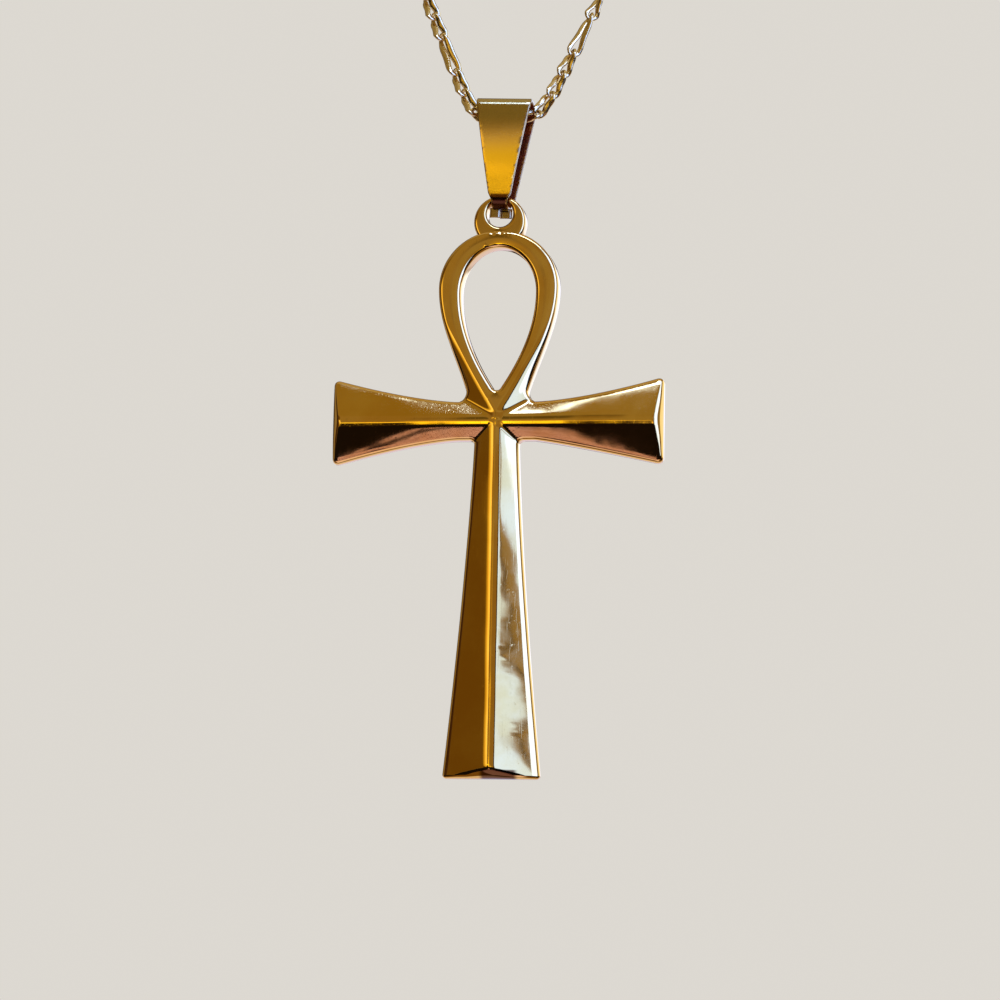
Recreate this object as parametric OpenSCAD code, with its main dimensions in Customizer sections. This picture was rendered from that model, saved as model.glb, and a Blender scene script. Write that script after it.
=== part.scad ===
// Looped cross (ankh) pendant on a folded bail and a fine figaro chain.
// Millimetres. The origin is the nape, where the chain rests on the back of the neck.
// X runs across the wearer, Y runs from the front to the back, and Z is up.

/* [Ankh] */
// Height from the middle of the eye down to the foot of the stem
stem_drop = 67.6; // [60:0.1:80]
// Height from the middle of the eye down to the crossbar's ridge
bar_drop = 25.05; // [24.8:0.05:25.3]
// Width across the crossbar
bar_w = 40; // [34:0.5:46]
// Thickness at the ridges and round the loop
cast_t = 2.5; // [2.3:0.05:2.6]
// Fall of the facets on each side of a ridge, in mm for each mm
facet_fall = 0.27; // [0.2:0.01:0.29]
// Half-width of the rounded top of a ridge
ridge_round = 0.8; // [0.4:0.05:1]
// Width of the stem just below the crossbar
stem_top_w = 5.2; // [4.6:0.1:5.6]
// Width of the stem at its foot
stem_foot_w = 11.8; // [9:0.1:12]
// Height of the crossbar beside the stem
bar_mid_h = 4.3; // [4:0.1:4.6]
// Height of the crossbar at its ends
bar_end_h = 10.4; // [8:0.1:10.6]
// Bend of the flared edges: 1 is straight, and more is more hollow
flare = 1.4; // [1:0.05:1.8]
// Half-width of the loop outside
loop_w = 7.25; // [7:0.05:7.6]
// Half-width of the loop's opening
open_w = 4.55; // [4.2:0.05:4.8]

/* [Eye] */
// Radius of the eye on top of the loop
eye_r = 3.12; // [2.9:0.01:3.3]
// Radius of its hole
eye_hole_r = 1.6; // [1.55:0.01:1.8]
// Thickness of the eye
eye_t = 2.2; // [1.8:0.1:2.3]

/* [Bail] */
// Width of the bail at its fold
bail_w = 6.65; // [5.6:0.05:6.7]
// Width of its front at the foot
bail_foot_w = 2.75; // [2.3:0.05:2.8]
// Width of the bar that goes through the eye
bail_bar_w = 1.9; // [1.7:0.05:2]
// Height of the fold above the middle of the eye
bail_rise = 13.95; // [13.7:0.05:14.2]
// Depth from front to back at the fold
bail_depth = 5.2; // [5:0.05:5.8]
// Depth from front to back at the foot
bail_foot_depth = 4.2; // [4.1:0.05:4.3]
// Thickness of the strip
strip_t = 0.45; // [0.4:0.05:0.5]
// Lean of the bail to one side, in degrees
bail_lean = 2; // [0:0.5:4]

/* [Chain] */
// Diameter of the links' wire
wire_d = 0.44; // [0.4:0.02:0.46]
// Width across a link, over its middle
link_w = 1.6; // [1.56:0.01:1.64]
// Width of a link's ends, which stand turned to the chain's flat side
link_end_w = 1.9; // [1.86:0.01:1.92]
// Length that a short link adds to the chain
short_pitch = 3; // [2.95:0.01:3.05]
// Length that a long link adds to the chain
long_pitch = 5.15; // [5.1:0.01:5.2]
// Reach of a link's end past the joint with its neighbour
hook_reach = 0.33; // [0.32:0.01:0.35]
// Twist of each end of a link, in degrees
link_twist = 45; // [42:1:48]

/* [Fastening] */
// Mean radius of the two end rings
ring_r = 1.5; // [1.5:0.05:1.6]
// Diameter of their wire
ring_wire_d = 0.5; // [0.4:0.05:0.55]
// Thickness of the clasp
clasp_t = 1.4; // [1.2:0.1:1.5]

/* [Hidden] */
gold = "#C9962E";
pale_gold = "#D9B15A";

// The middle of the eye, from which the pendant is measured
eye_at = [-0.55, -110, -148];
// The joint inside the bail, and the joint on each side where the chain turns upwards
bail_joint = [-1.34, -110, -136.5];
left_turn = [-4.1, -110, -135.33];
right_turn = [3.75, -110, -135.75];
// Where the chain runs from there to the nape, on the +X side. The -X side mirrors it.
ROUTE = [
    // x, y, z
    [5.5, -109.4, -132.7],
    [18.45, -103.6, -103.4],
    [36.6, -95.8, -71.2],
    [54.6, -84, -40.5],
    [64.6, -64.5, -17.5],
    [62, -41, -4.5],
    [48, -19, 0.5],
    [25.5, -4.8, 1],
    [0, 0, 0]
];
// The neck's axis, which the flat side of the chain faces away from
neck_y = -55;

// Links on each side, which fill the route up to the clasp
half_count = 70;

eps = 0.01;
// How far the eye's outer circle sits below its hole
eye_set = 0.96;
foot_hip = 1.2;
foot_edge_h = 0.95;
end_hip = 0.9;
end_edge_h = 1.1;
corner_r = 0.45;
bar_corner_r = 0.8;
// Outer radii of the bail's fold and foot, and heights above the middle of the eye:
// the underside of its bar, where the narrow bar begins, and where the front's taper ends
bail_fold_r = 1.1;
bail_foot_r = 1.5;
bail_bar_low = 0.55;
bail_bar_top = 1.4;
bail_taper_end = 2.3;
// The claw clasp's plate: its small eye, its rim, its claw opening and its lever's knob
eye_hole = 0.7;
eye_rim = 0.75;
claw_hole = 1.1;
claw_rim = 0.9;
claw_slot = 1.3;
claw_play = 0.65;
knob_r = 0.55;
// The two straight crests that lead from the loop's flat front to the middle of the cross
crest_top = [6.1, -14.3];
crest_foot = 0.3 - bar_drop;
crest_fall = 0.31;
loop_top = -2;
loop_mid = -9;
open_top = -4.15;
open_mid = -9.6;
open_tip = -21.4;
shoulder = [3.85, -22];
shoulder_foot = [4.75, -22.9];

function arc(c, r, from, to, n) = [
    for (i = [0:n])
        let (a = from + (to - from) * i / n)
            [c[0] + r[0] * cos(a), c[1] + r[1] * sin(a)]
];
function bezier(p, n) = [
    for (i = [0:n])
        let (t = i / n, u = 1 - t)
            u * u * u * p[0] + 3 * u * u * t * p[1] + 3 * u * t * t * p[2] + t * t * t * p[3]
];
function flipped(pts) = [for (i = [len(pts) - 1:-1:0]) [-pts[i][0], pts[i][1]]];
function both_sides(pts) = concat(pts, flipped(pts));
function flared(t, narrow, wide) = (narrow + (wide - narrow) * pow(t, flare)) / 2;

// Height of a ridge's cross-section at a distance d from its crest:
// an arc over the crest that runs into the two flat facets
function ridge_h(d) =
    let (lean = atan(facet_fall), r = ridge_round / sin(lean))
        d < ridge_round
            ? cast_t - r + sqrt(r * r - d * d)
            : cast_t - r * (1 - cos(lean)) - facet_fall * (d - ridge_round);

// The ankh is drawn in plan, x across and y up, with its flat back at height 0
module ridge_profile(reach) {
    side = [for (d = [0, 0.35, 0.65, 1]) [d * ridge_round, ridge_h(d * ridge_round)]];
    polygon(both_sides(concat(side, [[reach, ridge_h(reach)], [reach, 0]])));
}

module along_y(length) {
    rotate([90, 0, 0]) linear_extrude(length) children();
}

module along_x(length) {
    rotate([90, 0, 90]) linear_extrude(length, center = true) children();
}

module stem() {
    span = stem_drop - bar_drop - corner_r;
    side = [
        for (t = [0:0.1:1])
            [flared(t, stem_top_w, stem_foot_w), -bar_drop - span * t]
    ];
    foot = arc(
        [stem_foot_w / 2 - corner_r, corner_r - stem_drop],
        [corner_r, corner_r], 0, -90, 4
    );
    intersection() {
        linear_extrude(cast_t + eps) polygon(both_sides(concat(side, foot)));
        translate([0, -bar_drop, 0]) along_y(stem_drop) ridge_profile(stem_foot_w);
        along_x(2 * stem_foot_w) polygon([
            [-stem_drop - eps, 0],
            [-stem_drop - eps, foot_edge_h],
            [-stem_drop + foot_hip, cast_t + eps],
            [0, cast_t + eps],
            [0, 0]
        ]);
    }
}

module crossbar() {
    half = bar_w / 2;
    span = half - bar_corner_r;
    upper = [for (t = [0.1:0.1:1]) [span * t, flared(t, bar_mid_h, bar_end_h)]];
    tip = arc([span, bar_end_h / 2 - bar_corner_r], [bar_corner_r, bar_corner_r], 90, 0, 4);
    right = concat(upper, tip);
    lower = [for (i = [len(right) - 1:-1:0]) [right[i][0], -right[i][1]]];
    translate([0, -bar_drop, 0])
        intersection() {
            linear_extrude(cast_t + eps) polygon(both_sides(concat(right, lower)));
            rotate([0, 0, 90]) translate([0, bar_w, 0]) along_y(2 * bar_w) ridge_profile(bar_end_h);
            translate([0, bar_end_h, 0]) along_y(2 * bar_end_h) polygon(both_sides([
                [half - end_hip, cast_t + eps],
                [half + eps, end_edge_h],
                [half + eps, 0]
            ]));
        }
}

// The side of the loop's V that lies inside one crest, and falls away outside it
module crest_side() {
    run = crest_top - [0, crest_foot];
    turn = atan2(run[0], run[1]);
    length = 2 * stem_drop;
    translate([crest_top[0], crest_top[1], 0])
        rotate([0, 0, -turn])
            translate([0, length / 2, 0])
                along_y(length) polygon([
                    [-bar_w, 0],
                    [-bar_w, cast_t],
                    [0, cast_t],
                    [cast_t / crest_fall, 0]
                ]);
}

module loop_plate() {
    top = arc([0, loop_mid], [loop_w, loop_mid * -1 + loop_top], 90, 0, 10);
    side = bezier([
        [loop_w, loop_mid], [loop_w, loop_mid - 4.2], [5.2, -17], shoulder
    ], 8);
    outline = concat(top, [for (i = [1:8]) side[i]], [shoulder_foot, [shoulder_foot[0], -bar_drop]]);
    intersection() {
        linear_extrude(cast_t) polygon(both_sides(outline));
        crest_side();
        mirror([1, 0, 0]) crest_side();
    }
}

module loop_opening() {
    top = arc([0, open_mid], [open_w, open_top - open_mid], 90, 0, 9);
    side = bezier([
        [open_w, open_mid], [open_w, open_mid - 4], [2.9, -17.6], [0.5, open_tip + 0.2]
    ], 8);
    outline = concat(top, [for (i = [1:8]) side[i]], [[0.2, open_tip]]);
    translate([0, 0, -1]) linear_extrude(cast_t + 2) polygon(both_sides(outline));
}

module eye() {
    translate([0, -eye_set, (cast_t - eye_t) / 2]) cylinder(r = eye_r, h = eye_t, $fn = 64);
}

module ankh() {
    color(gold)
        translate(eye_at)
            rotate([90, 0, 0])
                translate([0, 0, -cast_t / 2])
                    difference() {
                        union() {
                            stem();
                            crossbar();
                            loop_plate();
                            eye();
                        }
                        loop_opening();
                        translate([0, 0, -1]) cylinder(r = eye_hole_r, h = cast_t + 2, $fn = 64);
                    }
}

// The bail's closed strip from the side, y against z: a fold that is nearly square above,
// straps that close in downwards, and a bar that goes through the eye
module bail_loop(inset) {
    fold_r = bail_fold_r - inset;
    foot_r = bail_foot_r - inset;
    half = bail_depth / 2 - inset;
    foot = bail_foot_depth / 2 - inset;
    top = bail_rise - inset;
    low = bail_bar_low + inset;
    right = concat(
        arc([half - fold_r, top - fold_r], [fold_r, fold_r], 90, 0, 5),
        arc([foot - foot_r, low + foot_r], [foot_r, foot_r], 0, -90, 5)
    );
    polygon(both_sides(right));
}

module bail() {
    color(pale_gold)
        translate(eye_at)
            rotate([0, bail_lean, 0])
                intersection() {
                    along_x(2 * bail_w) difference() {
                        bail_loop(0);
                        bail_loop(strip_t);
                    }
                    translate([0, bail_depth, 0]) along_y(2 * bail_depth) polygon(both_sides([
                        [bail_w / 2, bail_rise + strip_t],
                        [bail_w / 2, bail_rise - bail_fold_r / 2],
                        [bail_foot_w / 2, bail_taper_end],
                        [bail_bar_w / 2, bail_bar_top],
                        [bail_bar_w / 2, 0]
                    ]));
                }
}

function unit(v) = v / norm(v);
function along(p, i, t) =
    0.5 * (
        2 * p[i]
        + (p[i + 1] - p[i - 1]) * t
        + (2 * p[i - 1] - 5 * p[i] + 4 * p[i + 1] - p[i + 2]) * t * t
        + (3 * p[i] - p[i - 1] - 3 * p[i + 1] + p[i + 2]) * t * t * t
    );

// One side of the route as a table of [distance, x, y, z], from the joint in the bail
function side_points(side) =
    let (
        rest = [for (q = ROUTE) [side * q[0], q[1], q[2]]],
        p = concat([side > 0 ? right_turn : left_turn], rest),
        n = len(p),
        q = concat([2 * p[0] - p[1]], p, [[-p[n - 2][0], p[n - 2][1], p[n - 2][2]]]),
        steps = 14
    )
        concat([bail_joint], [
            for (i = [1:n - 1])
                for (k = [0:steps - 1])
                    along(q, i, k / steps)
        ], [p[n - 1]]);
function distances(p) = [
    for (i = 0, s = 0; i < len(p); s = s + (i + 1 < len(p) ? norm(p[i + 1] - p[i]) : 0), i = i + 1) s
];
function route_table(p) = let (s = distances(p)) [
    for (axis = [0:2]) [for (i = [0:len(p) - 1]) [s[i], p[i][axis]]]
];
function at(table, s) = [for (axis = table) lookup(s, axis)];

// The distance along the route at which a straight link of this pitch ends
function link_end(table, s, pitch, guess, tries) =
    tries == 0
        ? guess
        : link_end(table, s, pitch, guess + pitch - norm(at(table, guess) - at(table, s)), tries - 1);

// Three short links and a long one, in turn; the long one in the bail belongs to the +X side
function pitch_of(k, side) = (side > 0 ? k % 4 == 0 : k % 4 == 3) ? long_pitch : short_pitch;
function joints(side) =
    let (table = route_table(side_points(side)))
        [
            for (
                k = 0, s = 0;
                k <= half_count;
                s = link_end(table, s, pitch_of(k, side), s + pitch_of(k, side), 5), k = k + 1
            ) at(table, s)
        ];

turns = 10;
wire_sides = 5;

// A link's centre line before it is twisted: half an octagon of half-width b at each end,
// and a waist between them
function link_outline(a, b, waist) =
    let (
        bevel = tan(22.5) * b,
        half = [[a, bevel], [a - b + bevel, b], [0, waist], [b - bevel - a, b], [-a, bevel]]
    )
        concat(half, [for (i = [4:-1:0]) [half[i][0], -half[i][1]]]);

// Turns a point of the outline about the link's length, one way at one end
// and the other way at the other end
function twisted(point, straight, twist_to, mid, run, wide, flat) =
    let (
        t = max(-1, min(1, point[0] / straight)),
        roll = t < 0 ? -link_twist * t : -twist_to * t
    )
        mid + run * point[0] + (wide * cos(roll) + flat * sin(roll)) * point[1];

// The rings of points round the wire of a link that ends at these two points
function link_rings(from, to, twist_to) =
    let (
        mid = (from + to) / 2,
        run = unit(to - from),
        away = [mid[0], mid[1] - neck_y, 0],
        flat = unit(away - run * (away * run)),
        wide = cross(flat, run),
        a = norm(to - from) / 2,
        b = (link_end_w - wire_d) / 2,
        line = [
            for (point = link_outline(a, b, (link_w - wire_d) / 2))
                twisted(point, a - b, twist_to, mid, run, wide, flat)
        ]
    )
        [
            for (j = [0:turns - 1])
                let (
                    next = line[(j + 1) % turns],
                    last = line[(j + turns - 1) % turns],
                    tangent = unit(next - last),
                    out = line[j] - mid,
                    e1 = unit(out - tangent * (out * tangent)),
                    e2 = cross(tangent, e1)
                )
                    for (k = [0:wire_sides - 1])
                        let (q = k * 360 / wire_sides)
                            line[j] + (e1 * cos(q) + e2 * sin(q)) * wire_d / 2
        ];

module links(side) {
    at_joints = joints(side);
    steps = [for (k = [0:half_count - 1]) unit(at_joints[k + 1] - at_joints[k])];
    // At each joint both links reach past it along the line that halves the bend there
    reach = [
        for (k = [0:half_count])
            hook_reach * unit(steps[max(k - 1, 0)] + steps[min(k, half_count - 1)])
    ];
    ring_points = [
        for (k = [0:half_count - 1])
            each link_rings(
                at_joints[k] - reach[k],
                at_joints[k + 1] + reach[k + 1],
                k == half_count - 1 ? 0 : link_twist
            )
    ];
    per_link = turns * wire_sides;
    ring_faces = [
        for (k = [0:half_count - 1], j = [0:turns - 1], i = [0:wire_sides - 1])
            let (
                base = k * per_link,
                j2 = (j + 1) % turns,
                i2 = (i + 1) % wire_sides,
                p = base + j * wire_sides + i,
                q = base + j * wire_sides + i2,
                r = base + j2 * wire_sides + i2,
                s = base + j2 * wire_sides + i
            )
                each [[p, r, q], [p, s, r]]
    ];
    polyhedron(ring_points, ring_faces, convexity = 4);
}

module chain_left() {
    color(gold) links(-1);
}

module chain_right() {
    color(gold) links(1);
}

// An end ring takes the last link on its outer side and the clasp on its inner side
function ring_at(side) =
    let (last = joints(side)[half_count])
        last - [side * (ring_r - hook_reach), 0, 0];

module end_ring(side) {
    color(pale_gold)
        translate(ring_at(side))
            rotate_extrude($fn = 48) translate([ring_r, 0]) circle(d = ring_wire_d, $fn = 24);
}

module ring_left() {
    end_ring(-1);
}

module ring_right() {
    end_ring(1);
}

// A claw clasp with its gate shut: a small eye at one end and a long opening at the other
module clasp() {
    left = ring_at(-1);
    right = ring_at(1);
    small_eye = left[0] + ring_r;
    claw_r = claw_hole + claw_rim;
    claw_mid = right[0] - ring_r + claw_play - claw_hole;
    slot_start = claw_mid - claw_slot;
    color(pale_gold)
        translate([0, (left[1] + right[1]) / 2, (left[2] + right[2]) / 2])
            rotate([90, 0, 0])
                linear_extrude(clasp_t, center = true)
                    difference() {
                        union() {
                            hull() {
                                translate([small_eye, 0]) circle(r = eye_hole + eye_rim, $fn = 32);
                                translate([slot_start, 0]) circle(r = claw_r, $fn = 32);
                                translate([claw_mid, 0]) circle(r = claw_r, $fn = 32);
                            }
                            translate([slot_start - knob_r, -claw_r]) circle(r = knob_r, $fn = 24);
                        }
                        translate([small_eye, 0]) circle(r = eye_hole, $fn = 32);
                        hull() {
                            translate([slot_start, 0]) circle(r = claw_hole, $fn = 32);
                            translate([claw_mid, 0]) circle(r = claw_hole, $fn = 32);
                        }
                    }
}

ankh();
bail();
chain_left();
chain_right();
ring_left();
ring_right();
clasp();
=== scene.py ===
"""Looped cross pendant on a strip bail and a figaro chain: surfaces, finishes, light and camera.

Lengths are worked out in millimetres, with the nape as origin, and put into the meshes in metres.
Light and finishes were set against the photograph, from its one viewpoint."""

import math

import bmesh
import bpy
import numpy as np
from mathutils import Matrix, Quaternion, Vector


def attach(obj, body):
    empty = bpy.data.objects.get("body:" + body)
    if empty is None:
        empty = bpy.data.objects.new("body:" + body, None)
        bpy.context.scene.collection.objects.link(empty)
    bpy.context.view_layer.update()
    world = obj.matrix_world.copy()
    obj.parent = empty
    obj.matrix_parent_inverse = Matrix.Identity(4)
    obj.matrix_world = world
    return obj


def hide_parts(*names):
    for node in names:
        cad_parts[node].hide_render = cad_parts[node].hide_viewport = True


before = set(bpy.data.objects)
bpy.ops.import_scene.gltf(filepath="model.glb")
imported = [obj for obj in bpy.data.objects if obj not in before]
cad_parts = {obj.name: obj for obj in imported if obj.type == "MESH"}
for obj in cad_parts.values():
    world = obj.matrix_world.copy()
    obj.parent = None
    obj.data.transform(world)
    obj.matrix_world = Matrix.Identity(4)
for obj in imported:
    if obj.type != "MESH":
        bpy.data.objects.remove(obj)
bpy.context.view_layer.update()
scene = bpy.context.scene
MM, PER_METRE = 0.001, 1000
# points closer than WELD, in mm, become one; edges shorter than SLIVER, in metres, are dissolved
WELD, SLIVER = 0.002, 1e-8

# ---- sizes, the same as the solids' ----
EYE_AT = np.array([-0.55, -110.0, -148.0])
BAR_DROP, STEM_DROP, BAR_W, CAST_T = 25.05, 67.6, 40.0, 2.5
FACET_FALL, RIDGE_ROUND, FLARE = 0.27, 0.8, 1.4
STEM_W, BAR_H = (5.2, 11.8), (4.3, 10.55)
LOOP_W, LOOP_TOP, LOOP_MID = 7.25, -2.0, -9.0
OPEN_W, OPEN_TOP, OPEN_MID, OPEN_TIP = 4.55, -4.15, -9.6, -21.4
EYE_R, EYE_HOLE_R, EYE_T, EYE_SET = 3.12, 1.6, 2.2, 0.96
BAIL = dict(rise=13.95, depth=5.2, foot_depth=4.2, strip=0.45, lean=2.0, fold_r=1.1, foot_r=1.5,
            bar_low=0.55, fold_w=6.65, foot_w=2.75, bar_w=1.9, bar_top=1.4, taper_end=2.3)
CHAIN = dict(wire=0.44, waist=1.6, ends=1.9, short=3.0, long=5.15, reach=0.33, twist=45.0, count=70)
BAIL_JOINT = (-1.34, -110.0, -136.5)
TURNS = {-1: (-4.1, -110.0, -135.33), 1: (3.75, -110.0, -135.75)}
ROUTE = np.array([
    # x, y, z on the +X side
    (5.5, -109.4, -132.7), (18.45, -103.6, -103.4), (36.6, -95.8, -71.2), (54.6, -84.0, -40.5),
    (64.6, -64.5, -17.5), (62.0, -41.0, -4.5), (48.0, -19.0, 0.5), (25.5, -4.8, 1.0),
    (0.0, 0.0, 0.0),
])
NECK_Y = -55.0
RING_R, RING_WIRE = 1.5, 0.5


# ---- meshes from grids ----

def quads(rows, cols, round_rows=False, round_cols=False):
    """Corner numbers of the faces of a rows x cols grid, closed round in either direction."""
    r = np.arange(rows if round_rows else rows - 1)
    c = np.arange(cols if round_cols else cols - 1)
    r, c = np.meshgrid(r, c, indexing="ij")
    r2, c2 = (r + 1) % rows, (c + 1) % cols
    return np.stack([r * cols + c, r * cols + c2, r2 * cols + c2, r2 * cols + c], -1).reshape(-1, 4)


def mesh_piece(name, parts, body, material, replaced=(), values=None):
    """One object from (points in mm, quads) pairs, with its seams closed."""
    points = np.concatenate([np.asarray(p, float).reshape(-1, 3) for p, _ in parts])
    starts = np.cumsum([0] + [np.asarray(p).size // 3 for p, _ in parts])
    faces = np.concatenate([f + s for (_, f), s in zip(parts, starts)])
    mesh = bpy.data.meshes.new(name)
    mesh.from_pydata((points * MM).tolist(), [], faces.tolist())
    for key, value in (values or {}).items():
        numbers = np.ravel(value).astype(np.float32)
        mesh.attributes.new(key, "FLOAT", "POINT").data.foreach_set("value", numbers)
    work = bmesh.new()
    work.from_mesh(mesh)
    bmesh.ops.remove_doubles(work, verts=work.verts, dist=WELD * MM)
    bmesh.ops.dissolve_degenerate(work, edges=work.edges, dist=SLIVER)
    bmesh.ops.recalc_face_normals(work, faces=work.faces)
    work.to_mesh(mesh)
    work.free()
    mesh.polygons.foreach_set("use_smooth", np.ones(len(mesh.polygons), bool))
    mesh.update()
    piece = bpy.data.objects.new(name, mesh)
    scene.collection.objects.link(piece)
    mesh.materials.append(material)
    if body:
        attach(piece, body)
    if replaced:
        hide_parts(*replaced)
    return piece


# ---- the cross: one casting with a flat back ----
# Plan points are (x across, y up) from the middle of the eye.
# Heights are measured from the back.

TOP_R, BACK_R, WALL_ROWS = 0.42, 0.3, 3
EDGE = TOP_R * (1 - np.cos(np.linspace(0, math.pi / 2, 7)))
CREST = np.linspace(0.1, 0.8, 7)
SPREAD = 8
FILLET = 0.55
# how convex a facet is near the crossing, and the share of it that is left far out
CONVEX, FAR_SHARE = 0.045, 0.4
BAR_FALL = 0.252
LOOP_DOME, BAND_HALF = 0.055, 1.35
BAR_CORNER, FOOT_CORNER, SHOULDER_H = 0.85, 0.5, 2.32
LOW_CORNER = np.array([3.2, -BAR_DROP - SHOULDER_H])
HIGH_CORNER = np.array([4.6, -BAR_DROP + SHOULDER_H])
# how late each edge of the arms flares: lower and upper, on the right and on the left
ARM_FLARES = ((1.12, 1.55), (1.45, 1.5))
# where the loop's outer line leaves the shoulder, and where the opening's pointed tip ends
LOOP_FOOT, TIP_END = (3.72, -21.5), (0.62, -20.95)
# rows and stations of the plan grids
STEM_ROWS, ARM_ROWS, LEAD_ROWS, BAND_STATIONS, BAND_ROWS = 190, 84, 14, 150, 16
# the way along the opening's line, from its tip, that the centre's columns take up
TIP_REACH = 0.9
# points compared with an outline at a time
NEAREST_CHUNK = 1500


def flared(t, sizes):
    """Half of a width that grows from the first size to the second as t to the power FLARE."""
    return (sizes[0] + (sizes[1] - sizes[0]) * np.clip(t, 0, 1) ** FLARE) / 2


def ridge(d, half, off, fall, steeper, reach):
    """A ridge's height at a distance d from its crest: an arc over the crest, then a slightly
    convex facet that falls more towards the edge. It also falls more near the crossing: off is
    the way along the arm."""
    near = np.exp(-(off / reach) ** 2)
    bulge = CONVEX * (FAR_SHARE + (1 - FAR_SHARE) * near)
    first = fall + steeper * near - bulge
    lean = np.arctan(first)
    r = RIDGE_ROUND / np.sin(lean)
    arc = CAST_T - r + np.sqrt(r * r - np.minimum(d, RIDGE_ROUND) ** 2)
    out = np.maximum(d - RIDGE_ROUND, 0)
    facet = CAST_T - r * (1 - np.cos(lean)) - first * out
    return np.where(d < RIDGE_ROUND, arc, facet) - bulge * out ** 2 / half


def soft_max(a, b, k):
    """The larger of two heights, with the valley between them filled by a parabola of width k."""
    return np.maximum(a, b) + np.maximum(k - np.abs(a - b), 0) ** 2 / (4 * k)


def soft_min(a, b, k):
    return -soft_max(-a, -b, k)


def across(half):
    """Places across a facetted arm: rows that crowd at both rounded edges and over the crest.
    half is the half-width at each station, and the result runs from -half to half."""
    half = np.asarray(half, float)[..., None]
    inner = CREST[-1]
    spread = inner + (half - EDGE[-1] - inner) * np.linspace(0, 1, SPREAD + 2)[1:-1]
    edge = half - EDGE[::-1]
    side = np.concatenate([np.broadcast_to(CREST, half.shape[:-1] + CREST.shape), spread, edge], -1)
    return np.concatenate([-side[..., ::-1], np.zeros_like(half), side], -1)


def stem_half(y):
    """Half of the stem's width, with a round fillet where it leaves the crossbar
    and round corners at its foot."""
    t = (-BAR_DROP - y) / (STEM_DROP - BAR_DROP)
    s = np.clip(LOW_CORNER[1] - y, 0, FILLET)
    fillet = FILLET - np.sqrt(2 * FILLET * s - s * s)
    low = np.clip(FOOT_CORNER - (y + STEM_DROP), 0, FOOT_CORNER)
    corner = FOOT_CORNER - np.sqrt(FOOT_CORNER ** 2 - low ** 2)
    return flared(t, STEM_W) + fillet - corner


def bar_half(x, flare):
    """Half of the crossbar's height along one edge, with a round corner at its end."""
    half = BAR_W / 2
    out = np.clip(x - (half - BAR_CORNER), 0, BAR_CORNER)
    grown = np.clip((x - HIGH_CORNER[0]) / (half - HIGH_CORNER[0]), 0, 1) ** flare
    corner = BAR_CORNER - np.sqrt(BAR_CORNER ** 2 - out ** 2)
    return SHOULDER_H + (BAR_H[1] / 2 - SHOULDER_H) * grown - corner


def bezier(p, t):
    p, t = np.asarray(p, float), np.asarray(t)[:, None]
    u = 1 - t
    return u ** 3 * p[0] + 3 * u * u * t * p[1] + 3 * u * t * t * p[2] + t ** 3 * p[3]


def travelled(line):
    """The way covered along a line of points, at each point."""
    return np.concatenate([[0], np.cumsum(np.linalg.norm(np.diff(line, axis=0), axis=1))])


def fallen(d, r):
    """How far an edge rounded with radius r has fallen at a distance d from the outline."""
    return r - np.sqrt(r ** 2 - np.clip(r - d, 0, r) ** 2)


def evenly(line, count):
    """Points at equal steps along a line of points."""
    s = travelled(line)
    t = np.linspace(0, 1, count)
    return np.stack([np.interp(t * s[-1], s, line[:, k]) for k in (0, 1)], 1)


def loop_lines():
    """The loop's outer and inner lines up the right side, from the shoulder to the top."""
    a = np.linspace(0, math.pi / 2, 60)[1:]
    waist = bezier([LOOP_FOOT, (4.9, -17.6), (LOOP_W, LOOP_MID - 4.4), (LOOP_W, LOOP_MID)],
                   np.linspace(0, 1, 80))
    top = np.stack([LOOP_W * np.cos(a), LOOP_MID + (LOOP_TOP - LOOP_MID) * np.sin(a)], 1)
    shoulder = bezier([HIGH_CORNER, (4.25, HIGH_CORNER[1] + 0.05), (3.75, -22.1), LOOP_FOOT],
                      np.linspace(0, 1, 30))
    outer = np.concatenate([shoulder[:-1], waist, top])
    tip = bezier([(0, OPEN_TIP), (0.3, OPEN_TIP), (0.42, -21.3), TIP_END], np.linspace(0, 1, 12))
    side = bezier([TIP_END, (2.95, -17.4), (OPEN_W, OPEN_MID - 4.0), (OPEN_W, OPEN_MID)],
                  np.linspace(0, 1, 80))
    crown = np.stack([OPEN_W * np.cos(a), OPEN_MID + (OPEN_TOP - OPEN_MID) * np.sin(a)], 1)
    inner = np.concatenate([tip[:-1], side[:-1], [(OPEN_W, OPEN_MID)], crown])
    return outer, inner


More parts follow.
